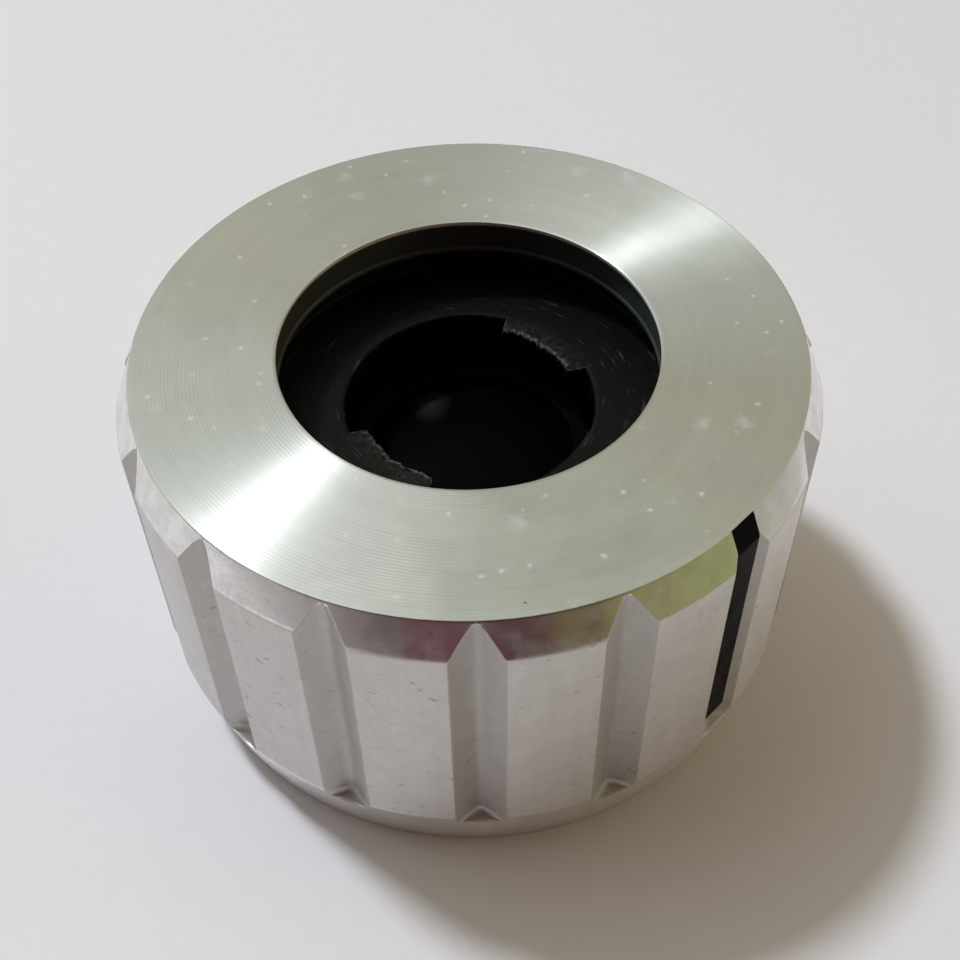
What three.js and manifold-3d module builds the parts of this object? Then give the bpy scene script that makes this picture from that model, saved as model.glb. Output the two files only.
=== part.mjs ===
// Hand-turned shaft coupling: a fluted aluminium grip over a black moulded core.
// The rear takes a 6 mm D-shaft in a brass bush; the front is a socket with two drive dogs
// and a sprung follower at its bottom. Millimetres, +Z up, rear rim standing on z = 0,
// turning axis on x = y = 0. Azimuths are degrees from +X, anticlockwise seen from above.

import * as THREE from "three";
import { mergeVertices } from "three/addons/utils/BufferGeometryUtils.js";
import Module from "manifold-3d";

const wasm = await Module();
wasm.setup();

// Driving dimensions of the grip
const HEIGHT = 21.1;
const LAND_RADIUS = 19;
const CHAMFER_WIDTH = 0.96;
const CHAMFER_HEIGHT = 2.04;
const FACE_RADIUS = LAND_RADIUS - CHAMFER_WIDTH;
const HOLE_RADIUS = 10.27;
const RIM_HEIGHT = 4.05;
const RIM_BASE_RADIUS = 18.05;
const CAVITY_RADIUS = 15.9;
const COVER_SEAT_RADIUS = 16.9;
const COVER_SEAT_HEIGHT = 2.4;
const PLATE_THICKNESS = 1.3;
const HOLE_EDGE_THICKNESS = 0.25;
const HOLE_TAPER_RADIUS = 12;

// Flutes
const FLUTE_COUNT = 16;
const FLUTE_PITCH = 360 / FLUTE_COUNT;
const FLUTE_FLOOR_RADIUS = 18.12;
const FLUTE_HALF_WIDTH = LAND_RADIUS * Math.sin(rad(4.06));
const FLUTE_FLOOR_HALF_WIDTH = 0.16;
const FLUTE_FLOOR_HOLLOW = 0.03;
const FLUTE_END_HEIGHT = 3.5;
const INDEX_AZIMUTH = -45;

// Fits
const GAP = 0.3;
const SCREW_GAP = 0.1;

// How far a cutter runs on past the face that it cuts
const OVERCUT = 1;

// Core stack, listed from the front to the rear
const CORE_RADIUS = CAVITY_RADIUS - GAP;
const COLLAR_BORE_RADIUS = 10.5;
const COLLAR_HEIGHT_FROM_FACE = 2.31;
const LIP_TOP_FROM_FACE = 0.75;
const LIP_TOP_RADIUS = 10.4;
const UNDERCUT_RADIUS = 11.6;
const LEDGE_Z = HEIGHT - 4.27;
const SOCKET_BORE_RADIUS = 6.96;
const DOG_TIP_RADIUS = 5.95;
const DOG_SPAN = 51;
const DOG_THICKNESS = 1.3;
const DOG_AZIMUTHS = [45, 225];
const STOP_RADIUS = 5.9;
const STOP_TOP = 13;
const STOP_THICKNESS = 0.8;
const SOCKET_BOTTOM = 11.4;
const HUB_TOP = SOCKET_BOTTOM - GAP;
const WELL_FLOOR = 8.1;
const HUB_WEB_THICKNESS = 0.7;

// Follower and spring
const FOLLOWER_HEAD_RADIUS = STOP_RADIUS - GAP;
const FOLLOWER_FLANGE_RADIUS = SOCKET_BORE_RADIUS - GAP;
const FOLLOWER_FLANGE_THICKNESS = 1;
const FOLLOWER_HEAD_HEIGHT = 0.5;
const FOLLOWER_DOME_HEIGHT = 0.9;
const FOLLOWER_DOME_STEPS = 6;
const FOLLOWER_BOSS_RADIUS = 2.4;
const FOLLOWER_BOSS_LENGTH = 1;
const SPRING_WIRE_RADIUS = 0.25;
const SPRING_TURNS = 2.75;
const SPRING_BOTTOM_RADIUS = 5.9;
const SPRING_TOP_RADIUS = 3.5;

// Bush, grub screws, cover and fixings
const BUSH_RADIUS = 6.4;
const BUSH_BOTTOM = 0.4;
const BUSH_KNURL_DEPTH = 0.3;
const BUSH_KNURL_TEETH = 24;
const SHAFT_RADIUS = 3;
const SHAFT_FLAT_DISTANCE = 2.5;
const GRUB_RADIUS = 1.45;
const GRUB_LENGTH = 6;
const GRUB_CHAMFER = 0.35;
const GRUB_KEY_ACROSS_FLATS = 1.5;
const GRUB_KEY_DEPTH = 1.5;
const GRUB_Z = 5.2;
const KEY_ACCESS_RADIUS = 1.7;
const GRUBS = [
  { name: "grub_screw_a", azimuth: 90, tipRadius: SHAFT_FLAT_DISTANCE + 0.1 },
  { name: "grub_screw_b", azimuth: 0, tipRadius: SHAFT_RADIUS + 0.1 },
];
const COVER_BOTTOM = 0.6;
const COVER_THICKNESS = 1.5;
const COVER_SCREW_CIRCLE = 11.5;
const COVER_SCREW_AZIMUTHS = [45, 165, 285];
const COVER_SCREW_RADIUS = 1.1;
const COVER_SCREW_HEAD_RADIUS = 2.2;
const COVER_SCREW_TIP_Z = 7.2;
const COVER_SCREW_POINT_LENGTH = 1;
const COVER_SCREW_POINT_RADIUS = 0.3;
const CROSS_HALF_WIDTH = 0.28;
const CROSS_REACH = 1.2;
const CROSS_DEPTH = 0.8;
const PIN_CIRCLE = 13.2;
const PIN_AZIMUTHS = [130, 230];
const PIN_RADIUS = 0.9;
const PIN_BOTTOM = 8.5;
const PIN_TOP = 14.2;
const INDEX_WIDTH = 1.7;
const INDEX_FACE_RADIUS = 18.65;
const INDEX_BACK_RADIUS = FACE_RADIUS - 0.05;
const INDEX_TOP_BELOW_FACE = 0.02;
const INDEX_BOTTOM = 4.8;
const KEYWAY_RADIUS = 13.8;

// Facets on a full turn
const GRIP_FACETS = 96;
const CORE_FACETS = 64;
const SMALL_FACETS = 24;
const SPRING_STEPS_PER_TURN = 20;
const SPRING_WIRE_SIDES = 8;
const SHAFT_BORE_STEPS = 36;
const MOUTH_ARC_STEPS = 24;

const aluminium = metal(0xbcbdb6, 0.35);
const steel = metal(0x8c8f92, 0.3);
const blackSteel = metal(0x2c2d2f, 0.4);
const brass = metal(0xb8964c, 0.35);
const blackPlastic = plastic(0x111112, 0.55);
const indexPlastic = plastic(0x050506, 0.4);

function rad(degrees) {
  return (degrees * Math.PI) / 180;
}

function metal(color, roughness) {
  return new THREE.MeshStandardMaterial({ color, roughness, metalness: 1 });
}

function plastic(color, roughness) {
  return new THREE.MeshStandardMaterial({ color, roughness, metalness: 0 });
}

// A closed geometry as a manifold-3d solid
function solid(geometry) {
  const bare = geometry.clone();
  bare.deleteAttribute("normal");
  bare.deleteAttribute("uv");
  const merged = mergeVertices(bare, 1e-4);
  return new wasm.Manifold(
    new wasm.Mesh({
      numProp: 3,
      vertProperties: new Float32Array(merged.attributes.position.array),
      triVerts: new Uint32Array(merged.index.array),
    }),
  );
}

function joined(solids) {
  return solids.reduce((whole, next) => whole.add(next));
}

// A solid back as a named mesh
function piece(name, shape, material) {
  const mesh = shape.getMesh();
  const geometry = new THREE.BufferGeometry();
  geometry.setAttribute("position", new THREE.BufferAttribute(mesh.vertProperties, 3));
  geometry.setIndex(new THREE.BufferAttribute(mesh.triVerts, 1));
  geometry.computeVertexNormals();
  const result = new THREE.Mesh(geometry, material);
  result.name = name;
  return result;
}

// A body of revolution about Z from [radius, z] points, anticlockwise in the radius-z plane.
// A profile off the axis closes on itself.
function turned(profile, facets = CORE_FACETS) {
  const points = profile.map(([radius, z]) => new THREE.Vector2(radius, z));
  const onAxis = profile[0][0] === 0 && profile.at(-1)[0] === 0;
  if (!onAxis) points.push(points[0].clone());
  return solid(new THREE.LatheGeometry(points, facets).rotateX(Math.PI / 2));
}

// A plain disc, or a ring when it has a bore
function disc(radius, bottom, top, facets = CORE_FACETS) {
  return turned([[0, bottom], [radius, bottom], [radius, top], [0, top]], facets);
}

function ring(bore, radius, bottom, top, facets = CORE_FACETS) {
  return turned([[bore, bottom], [radius, bottom], [radius, top], [bore, top]], facets);
}

// A straight prism along Z from a closed outline of [x, y] points
function prism(outline, bottom, top) {
  const shape = new THREE.Shape(outline.map(([x, y]) => new THREE.Vector2(x, y)));
  const options = { depth: top - bottom, bevelEnabled: false };
  return solid(new THREE.ExtrudeGeometry(shape, options).translate(0, 0, bottom));
}

function box(x0, x1, y0, y1, z0, z1) {
  const geometry = new THREE.BoxGeometry(x1 - x0, y1 - y0, z1 - z0);
  return solid(geometry.translate((x0 + x1) / 2, (y0 + y1) / 2, (z0 + z1) / 2));
}

// Corners of a regular polygon about the Z axis
function polygon(count, radius) {
  return Array.from({ length: count }, (_, i) => {
    const azimuth = rad((360 * i) / count);
    return [radius * Math.cos(azimuth), radius * Math.sin(azimuth)];
  });
}

// Turns a solid about Z to an azimuth
function atAzimuth(shape, azimuth) {
  return shape.rotate([0, 0, azimuth]);
}

// Moves a solid that stands on the Z axis out to a point of a circle
function onCircle(shape, radius, azimuth) {
  return atAzimuth(shape.translate([radius, 0, 0]), azimuth);
}

// Lays a solid from the Z axis along +X at a height, then turns it to an azimuth
function radially(shape, height, azimuth) {
  return atAzimuth(shape.rotate([0, 90, 0]).translate([0, 0, height]), azimuth);
}

// One flute: a wide V, blunted at its floor and open outwards
function fluteCutter() {
  const slope = FLUTE_HALF_WIDTH / (LAND_RADIUS - FLUTE_FLOOR_RADIUS);
  const outer = LAND_RADIUS + OVERCUT;
  const openHalf = (outer - FLUTE_FLOOR_RADIUS) * slope;
  const shoulder = FLUTE_FLOOR_RADIUS + FLUTE_FLOOR_HALF_WIDTH / slope;
  return prism(
    [
      [FLUTE_FLOOR_RADIUS + FLUTE_FLOOR_HOLLOW, 0],
      [shoulder, -FLUTE_FLOOR_HALF_WIDTH],
      [outer, -openHalf],
      [outer, openHalf],
      [shoulder, FLUTE_FLOOR_HALF_WIDTH],
    ],
    FLUTE_END_HEIGHT,
    HEIGHT + OVERCUT,
  );
}

// The slot of the index strip and, below the front plate, of the key behind it
function indexSlot() {
  const half = INDEX_WIDTH / 2 + GAP / 2;
  const plateUnderside = HEIGHT - PLATE_THICKNESS - GAP;
  const outer = LAND_RADIUS + OVERCUT;
  const inner = CAVITY_RADIUS - OVERCUT;
  const bottom = INDEX_BOTTOM - GAP;
  const strip = box(FACE_RADIUS - GAP, outer, -half, half, bottom, HEIGHT + OVERCUT);
  const key = box(inner, LAND_RADIUS, -half, half, bottom, plateUnderside);
  return atAzimuth(strip.add(key), INDEX_AZIMUTH);
}

function gripShell() {
  const blank = turned(
    [
      [COVER_SEAT_RADIUS, 0],
      [RIM_BASE_RADIUS, 0],
      [LAND_RADIUS, RIM_HEIGHT],
      [LAND_RADIUS, HEIGHT - CHAMFER_HEIGHT],
      [FACE_RADIUS, HEIGHT],
      [HOLE_RADIUS, HEIGHT],
      [HOLE_RADIUS, HEIGHT - HOLE_EDGE_THICKNESS],
      [HOLE_TAPER_RADIUS, HEIGHT - PLATE_THICKNESS],
      [CAVITY_RADIUS, HEIGHT - PLATE_THICKNESS],
      [CAVITY_RADIUS, COVER_SEAT_HEIGHT],
      [COVER_SEAT_RADIUS, COVER_SEAT_HEIGHT],
    ],
    GRIP_FACETS,
  );
  const flute = fluteCutter();
  const flutes = Array.from({ length: FLUTE_COUNT }, (_, i) => atAzimuth(flute, FLUTE_PITCH * i));
  const inner = CAVITY_RADIUS - OVERCUT;
  const keyHole = disc(KEY_ACCESS_RADIUS, inner, LAND_RADIUS + OVERCUT, SMALL_FACETS);
  const keyHoles = GRUBS.map(({ azimuth }) => radially(keyHole, GRUB_Z, azimuth));
  return blank.subtract(joined([...flutes, indexSlot(), ...keyHoles]));
}

// The black strip in one flute, with the key behind it that locks the core to the grip
function indexInsert() {
  const half = INDEX_WIDTH / 2;
  const keyHalf = half - GAP / 2;
  const keyTop = HEIGHT - PLATE_THICKNESS - 2 * GAP;
  const chamferSlope = CHAMFER_HEIGHT / CHAMFER_WIDTH;
  const faceTop = HEIGHT - (INDEX_FACE_RADIUS - FACE_RADIUS) * chamferSlope;
  const top = HEIGHT - INDEX_TOP_BELOW_FACE;
  const strip = prism(
    [
      [INDEX_BACK_RADIUS, INDEX_BOTTOM],
      [INDEX_FACE_RADIUS, INDEX_BOTTOM],
      [INDEX_FACE_RADIUS, faceTop],
      [FACE_RADIUS, top],
      [INDEX_BACK_RADIUS, top],
    ],
    -half,
    half,
  ).rotate([90, 0, 0]);
  const key = box(KEYWAY_RADIUS + GAP, FACE_RADIUS, -keyHalf, keyHalf, INDEX_BOTTOM, keyTop);
  return atAzimuth(strip.add(key), INDEX_AZIMUTH);
}

// The groove in the core that the index strip's key lies in
function keyway(bottom, top) {
  const half = INDEX_WIDTH / 2 + GAP / 2;
  const groove = box(KEYWAY_RADIUS, CORE_RADIUS + OVERCUT, -half, half, bottom, top);
  return atAzimuth(groove, INDEX_AZIMUTH);
}

// The lip seen just inside the hole of the front plate
function retainingCollar() {
  const bottom = HEIGHT - COLLAR_HEIGHT_FROM_FACE;
  const top = HEIGHT - PLATE_THICKNESS - GAP;
  const lip = turned([
    [COLLAR_BORE_RADIUS, bottom],
    [CORE_RADIUS, bottom],
    [CORE_RADIUS, top],
    [HOLE_TAPER_RADIUS, top],
    [LIP_TOP_RADIUS, HEIGHT - LIP_TOP_FROM_FACE],
  ]);
  return lip.subtract(keyway(bottom - OVERCUT, top + OVERCUT));
}

// Outline of the socket's mouth: a circle with two dogs standing inwards
function mouthOutline() {
  const points = [];
  for (const dog of DOG_AZIMUTHS) {
    const dogStart = dog - DOG_SPAN / 2;
    const dogEnd = dog + DOG_SPAN / 2;
    const nextStart = dogStart + 180;
    points.push(...arc(DOG_TIP_RADIUS, dogStart, dogEnd, MOUTH_ARC_STEPS / 2));
    points.push(...arc(SOCKET_BORE_RADIUS, dogEnd, nextStart, MOUTH_ARC_STEPS));
  }
  return points;
}

// Points along an arc about the Z axis, both ends included
function arc(radius, from, to, steps) {
  return Array.from({ length: steps + 1 }, (_, i) => {
    const azimuth = rad(from + ((to - from) * i) / steps);
    return [radius * Math.cos(azimuth), radius * Math.sin(azimuth)];
  });
}

function pinHoles(bottom, top) {
  const hole = disc(PIN_RADIUS + GAP, bottom, top, SMALL_FACETS);
  return joined(PIN_AZIMUTHS.map((azimuth) => onCircle(hole, PIN_CIRCLE, azimuth)));
}

// The front half of the core: recess, ledge, two dogs and the stop for the follower
function driveSocket() {
  const top = HEIGHT - COLLAR_HEIGHT_FROM_FACE - GAP;
  const stopBottom = STOP_TOP - STOP_THICKNESS;
  const dogBottom = LEDGE_Z - DOG_THICKNESS;
  const body = turned([
    [DOG_TIP_RADIUS - OVERCUT, dogBottom],
    [SOCKET_BORE_RADIUS, dogBottom],
    [SOCKET_BORE_RADIUS, STOP_TOP],
    [STOP_RADIUS, STOP_TOP],
    [STOP_RADIUS, stopBottom],
    [SOCKET_BORE_RADIUS, stopBottom],
    [SOCKET_BORE_RADIUS, SOCKET_BOTTOM],
    [CORE_RADIUS, SOCKET_BOTTOM],
    [CORE_RADIUS, top],
    [UNDERCUT_RADIUS, top],
    [UNDERCUT_RADIUS, LEDGE_Z],
    [DOG_TIP_RADIUS - OVERCUT, LEDGE_Z],
  ]);
  const cuts = [
    prism(mouthOutline(), dogBottom - OVERCUT, LEDGE_Z + OVERCUT),
    keyway(SOCKET_BOTTOM - OVERCUT, top + OVERCUT),
    pinHoles(SOCKET_BOTTOM - OVERCUT, PIN_TOP + GAP),
  ];
  return body.subtract(joined(cuts));
}

// The rear half of the core: spring well in front, bush behind, grub screws through its side
function hubCore() {
  const bushSeat = WELL_FLOOR - HUB_WEB_THICKNESS;
  const body = turned([
    [0, bushSeat],
    [BUSH_RADIUS + GAP, bushSeat],
    [BUSH_RADIUS + GAP, COVER_SEAT_HEIGHT],
    [CORE_RADIUS, COVER_SEAT_HEIGHT],
    [CORE_RADIUS, HUB_TOP],
    [SOCKET_BORE_RADIUS, HUB_TOP],
    [SOCKET_BORE_RADIUS, WELL_FLOOR],
    [0, WELL_FLOOR],
  ]);
  const grubHole = disc(
    KEY_ACCESS_RADIUS,
    BUSH_RADIUS - OVERCUT,
    CORE_RADIUS + OVERCUT,
    SMALL_FACETS,
  );
  const screwHole = disc(
    COVER_SCREW_RADIUS + GAP,
    COVER_SEAT_HEIGHT - OVERCUT,
    COVER_SCREW_TIP_Z + OVERCUT,
    SMALL_FACETS,
  );
  const cuts = [
    ...GRUBS.map(({ azimuth }) => radially(grubHole, GRUB_Z, azimuth)),
    ...COVER_SCREW_AZIMUTHS.map((azimuth) => onCircle(screwHole, COVER_SCREW_CIRCLE, azimuth)),
    keyway(COVER_SEAT_HEIGHT - OVERCUT, HUB_TOP + OVERCUT),
    pinHoles(PIN_BOTTOM - GAP, HUB_TOP + OVERCUT),
  ];
  return body.subtract(joined(cuts));
}

// The domed follower, held down by the socket's stop ring and pushed up by the spring
function follower() {
  const flangeTop = STOP_TOP - STOP_THICKNESS - GAP;
  const flangeBottom = flangeTop - FOLLOWER_FLANGE_THICKNESS;
  const apex = flangeTop + FOLLOWER_HEAD_HEIGHT + FOLLOWER_DOME_HEIGHT;
  const chordSquared = FOLLOWER_HEAD_RADIUS ** 2 + FOLLOWER_DOME_HEIGHT ** 2;
  const sphereRadius = chordSquared / (2 * FOLLOWER_DOME_HEIGHT);
  const dome = Array.from({ length: FOLLOWER_DOME_STEPS + 1 }, (_, i) => {
    const radius = FOLLOWER_HEAD_RADIUS * (1 - i / FOLLOWER_DOME_STEPS);
    return [radius, apex - sphereRadius + Math.sqrt(sphereRadius ** 2 - radius ** 2)];
  });
  return turned([
    [0, flangeBottom - FOLLOWER_BOSS_LENGTH],
    [FOLLOWER_BOSS_RADIUS, flangeBottom - FOLLOWER_BOSS_LENGTH],
    [FOLLOWER_BOSS_RADIUS, flangeBottom],
    [FOLLOWER_FLANGE_RADIUS, flangeBottom],
    [FOLLOWER_FLANGE_RADIUS, flangeTop],
    [FOLLOWER_HEAD_RADIUS, flangeTop],
    ...dome,
  ]);
}

// A conical compression spring, wide at the rear
class ConicalHelix extends THREE.Curve {
  constructor(bottomRadius, topRadius, bottom, top, turns) {
    super();
    Object.assign(this, { bottomRadius, topRadius, bottom, top, turns });
  }

  getPoint(t, target = new THREE.Vector3()) {
    const angle = 2 * Math.PI * this.turns * t;
    const radius = this.bottomRadius + (this.topRadius - this.bottomRadius) * t;
    const z = this.bottom + (this.top - this.bottom) * t;
    return target.set(radius * Math.cos(angle), radius * Math.sin(angle), z);
  }
}

function returnSpring() {
  const flangeBottom = STOP_TOP - STOP_THICKNESS - GAP - FOLLOWER_FLANGE_THICKNESS;
  const bottom = WELL_FLOOR + GAP + SPRING_WIRE_RADIUS;
  const top = flangeBottom - GAP - SPRING_WIRE_RADIUS;
  const path = new ConicalHelix(SPRING_BOTTOM_RADIUS, SPRING_TOP_RADIUS, bottom, top, SPRING_TURNS);
  const section = polygon(SPRING_WIRE_SIDES, SPRING_WIRE_RADIUS);
  const wire = new THREE.Shape(section.map(([x, y]) => new THREE.Vector2(x, y)));
  const steps = Math.round(SPRING_TURNS * SPRING_STEPS_PER_TURN);
  return solid(new THREE.ExtrudeGeometry(wire, { steps, extrudePath: path, bevelEnabled: false }));
}

// Outline of the shaft's D-shaped bore, with its flat towards +Y
function shaftOutline() {
  const flatHalfAngle = (Math.acos(SHAFT_FLAT_DISTANCE / SHAFT_RADIUS) * 180) / Math.PI;
  return arc(SHAFT_RADIUS, 90 + flatHalfAngle, 450 - flatHalfAngle, SHAFT_BORE_STEPS);
}

// Outline of the bush: a circle of pointed teeth that grip the moulding
function knurlOutline() {
  return Array.from({ length: 2 * BUSH_KNURL_TEETH }, (_, i) => {
    const azimuth = (Math.PI * i) / BUSH_KNURL_TEETH;
    const radius = BUSH_RADIUS - (i % 2) * BUSH_KNURL_DEPTH;
    return [radius * Math.cos(azimuth), radius * Math.sin(azimuth)];
  });
}

// The brass bush: knurled outside, D-shaped bore, two threaded holes for the grub screws
function shaftBush() {
  const top = WELL_FLOOR - HUB_WEB_THICKNESS - GAP;
  const threadStart = SHAFT_FLAT_DISTANCE - OVERCUT;
  const thread = disc(GRUB_RADIUS + SCREW_GAP, threadStart, BUSH_RADIUS + OVERCUT, SMALL_FACETS);
  const cuts = [
    prism(shaftOutline(), BUSH_BOTTOM - OVERCUT, top + OVERCUT),
    ...GRUBS.map(({ azimuth }) => radially(thread, GRUB_Z, azimuth)),
  ];
  return prism(knurlOutline(), BUSH_BOTTOM, top).subtract(joined(cuts));
}

// A grub screw lying on a radius of the bush, its hexagon socket outwards
function grubScrew({ azimuth, tipRadius }) {
  const body = turned(
    [
      [0, 0],
      [GRUB_RADIUS - 2 * GRUB_CHAMFER, 0],
      [GRUB_RADIUS, 2 * GRUB_CHAMFER],
      [GRUB_RADIUS, GRUB_LENGTH - GRUB_CHAMFER],
      [GRUB_RADIUS - GRUB_CHAMFER, GRUB_LENGTH],
      [0, GRUB_LENGTH],
    ],
    SMALL_FACETS,
  );
  const keyRadius = GRUB_KEY_ACROSS_FLATS / Math.sqrt(3);
  const keyBottom = GRUB_LENGTH - GRUB_KEY_DEPTH;
  const key = prism(polygon(6, keyRadius), keyBottom, GRUB_LENGTH + OVERCUT);
  return radially(body.subtract(key).translate([0, 0, tipRadius]), GRUB_Z, azimuth);
}

// The rear cover, with countersunk holes round a clear hole for the bush
function rearCover() {
  const top = COVER_BOTTOM + COVER_THICKNESS;
  const plate = ring(BUSH_RADIUS + 2 * GAP, COVER_SEAT_RADIUS - GAP, COVER_BOTTOM, top);
  const headRadius = COVER_SCREW_HEAD_RADIUS + GAP;
  const clearance = COVER_SCREW_RADIUS + GAP;
  const hole = turned(
    [
      [0, COVER_BOTTOM - OVERCUT],
      [headRadius, COVER_BOTTOM - OVERCUT],
      [headRadius, COVER_BOTTOM],
      [clearance, COVER_BOTTOM + headRadius - clearance],
      [clearance, top + OVERCUT],
      [0, top + OVERCUT],
    ],
    SMALL_FACETS,
  );
  const holes = COVER_SCREW_AZIMUTHS.map((azimuth) => onCircle(hole, COVER_SCREW_CIRCLE, azimuth));
  return plate.subtract(joined(holes));
}

// A countersunk screw, head down, with a cross recess
function coverScrew(azimuth) {
  const neck = COVER_BOTTOM + COVER_SCREW_HEAD_RADIUS - COVER_SCREW_RADIUS;
  const body = turned(
    [
      [0, COVER_BOTTOM],
      [COVER_SCREW_HEAD_RADIUS, COVER_BOTTOM],
      [COVER_SCREW_RADIUS, neck],
      [COVER_SCREW_RADIUS, COVER_SCREW_TIP_Z - COVER_SCREW_POINT_LENGTH],
      [COVER_SCREW_POINT_RADIUS, COVER_SCREW_TIP_Z],
      [0, COVER_SCREW_TIP_Z],
    ],
    SMALL_FACETS,
  );
  const half = CROSS_HALF_WIDTH;
  const reach = CROSS_REACH;
  const slotBottom = COVER_BOTTOM - OVERCUT;
  const slotTop = COVER_BOTTOM + CROSS_DEPTH;
  const slots = [
    box(-reach, reach, -half, half, slotBottom, slotTop),
    box(-half, half, -reach, reach, slotBottom, slotTop),
  ];
  return onCircle(body.subtract(joined(slots)), COVER_SCREW_CIRCLE, azimuth);
}

// A pin that carries the torque from the socket to the hub
function drivePin(azimuth) {
  return onCircle(disc(PIN_RADIUS, PIN_BOTTOM, PIN_TOP, SMALL_FACETS), PIN_CIRCLE, azimuth);
}

const coverScrews = COVER_SCREW_AZIMUTHS.map((azimuth, i) =>
  piece(`cover_screw_${i + 1}`, coverScrew(azimuth), steel),
);
const drivePins = PIN_AZIMUTHS.map((azimuth, i) =>
  piece(`drive_pin_${i + 1}`, drivePin(azimuth), steel),
);

const coupling = new THREE.Group();
coupling.add(
  piece("grip_shell", gripShell(), aluminium),
  piece("index_insert", indexInsert(), indexPlastic),
  piece("retaining_collar", retainingCollar(), blackPlastic),
  piece("drive_socket", driveSocket(), blackPlastic),
  piece("hub_core", hubCore(), blackPlastic),
  piece("follower", follower(), blackPlastic),
  piece("return_spring", returnSpring(), steel),
  piece("shaft_bush", shaftBush(), brass),
  piece("rear_cover", rearCover(), blackPlastic),
  ...GRUBS.map((grub) => piece(grub.name, grubScrew(grub), blackSteel)),
  ...coverScrews,
  ...drivePins,
);

export default coupling;
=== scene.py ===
"""Looks of a hand-turned shaft coupling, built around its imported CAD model.

Shapes are worked out in millimetres and become metres where a mesh is made. The turning axis is
Z and the rear rim stands on z = 0. Azimuths are degrees from +X, anticlockwise seen from above.
"""

import itertools
import math

import bpy
import numpy as np
from mathutils import Matrix, Vector


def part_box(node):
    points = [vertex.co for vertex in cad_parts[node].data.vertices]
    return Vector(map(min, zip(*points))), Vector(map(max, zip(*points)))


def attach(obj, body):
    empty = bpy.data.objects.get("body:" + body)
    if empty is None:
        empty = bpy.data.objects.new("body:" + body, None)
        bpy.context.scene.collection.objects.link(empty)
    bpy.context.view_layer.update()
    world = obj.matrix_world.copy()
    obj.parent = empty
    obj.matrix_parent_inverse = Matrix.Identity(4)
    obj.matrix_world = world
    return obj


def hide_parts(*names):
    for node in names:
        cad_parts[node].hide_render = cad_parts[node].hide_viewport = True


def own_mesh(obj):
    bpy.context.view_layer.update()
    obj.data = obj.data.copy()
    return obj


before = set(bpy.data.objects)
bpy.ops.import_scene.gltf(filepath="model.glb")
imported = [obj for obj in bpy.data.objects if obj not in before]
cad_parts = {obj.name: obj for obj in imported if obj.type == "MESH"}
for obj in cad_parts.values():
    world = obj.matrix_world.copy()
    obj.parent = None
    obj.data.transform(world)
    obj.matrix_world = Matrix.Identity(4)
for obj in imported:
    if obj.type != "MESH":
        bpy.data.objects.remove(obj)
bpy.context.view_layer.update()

MM = 0.001

# Grip
HEIGHT = 21.1
LAND_RADIUS = 19.0
CHAMFER_WIDTH = 0.96
CHAMFER_HEIGHT = 2.04
FACE_RADIUS = LAND_RADIUS - CHAMFER_WIDTH
HOLE_RADIUS = 10.27
HOLE_EDGE_THICKNESS = 0.25
HOLE_TAPER_RADIUS = 12.0
PLATE_THICKNESS = 1.3
PLATE_BOTTOM = HEIGHT - PLATE_THICKNESS
RIM_HEIGHT = 4.05
RIM_BASE_RADIUS = 18.05
RIM_FOOT_ROUNDING = 0.12
CAVITY_RADIUS = 15.9
COVER_SEAT_RADIUS = 16.9
COVER_SEAT_HEIGHT = 2.4
FLUTE_COUNT = 16
FLUTE_FLOOR_RADIUS = 18.12
FLUTE_HALF_WIDTH = LAND_RADIUS * math.sin(math.radians(4.06))
FLUTE_ROUNDING = 0.3
FLUTE_END_HEIGHT = 3.5
FLUTE_RUNOUT = 0.55
EDGE_ROUNDING = 0.035

# Index strip
INDEX_AZIMUTH = -45
INDEX_HALF_WIDTH = 0.85
INDEX_FACE_RADIUS = 18.65
INDEX_BACK_RADIUS = 17.99
INDEX_BOTTOM = 4.8
INDEX_TOP = HEIGHT - 0.02
INDEX_ROUNDING = 0.04
INDEX_KEY_HALF_WIDTH = 0.7
INDEX_KEY_INNER_RADIUS = 14.1
INDEX_KEY_BOTTOM = INDEX_BOTTOM + 0.3
INDEX_KEY_TOP = 19.2
INDEX_KEY_SLOT_BOTTOM = INDEX_BOTTOM + 0.1
SLOT_GAP = 0.015

# Core
CORE_RADIUS = 15.6
COLLAR_BORE_RADIUS = 10.5
COLLAR_BOTTOM = 18.79
COLLAR_ROUNDING = 0.1
BEAD_WIDTH = 0.11
BEAD_HEIGHT = 0.36
BEAD_SLOPE_HEIGHT = 0.12
SOCKET_TOP = COLLAR_BOTTOM - 0.3
SOCKET_BOTTOM = 11.4
SOCKET_BORE_RADIUS = 6.96
SOCKET_ROUNDING = 0.1
UNDERCUT_RADIUS = 11.6
UNDERCUT_FILLET = 0.25
UNDERCUT_FILLET_INSET = 0.07
LEDGE_Z = 16.83
STOP_RADIUS = 5.9
STOP_TOP = 13.0
STOP_BOTTOM = STOP_TOP - 0.8

# Dogs in the socket's mouth; spans in degrees
DOG_AZIMUTHS = (45.0, 225.0)
DOG_SPAN = 51.0
DOG_FLANK_SPAN = 1.2
DOG_TIP_RADIUS = 5.95
DOG_BOTTOM = LEDGE_Z - 1.3
DOG_RAGGEDNESS = 0.28
BURR_SIZE = 0.5
MOUTH_RAGGEDNESS = 0.05
MOUTH_NARROW_ARC = (242, 338)
MOUTH_NARROWING = 0.14

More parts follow.
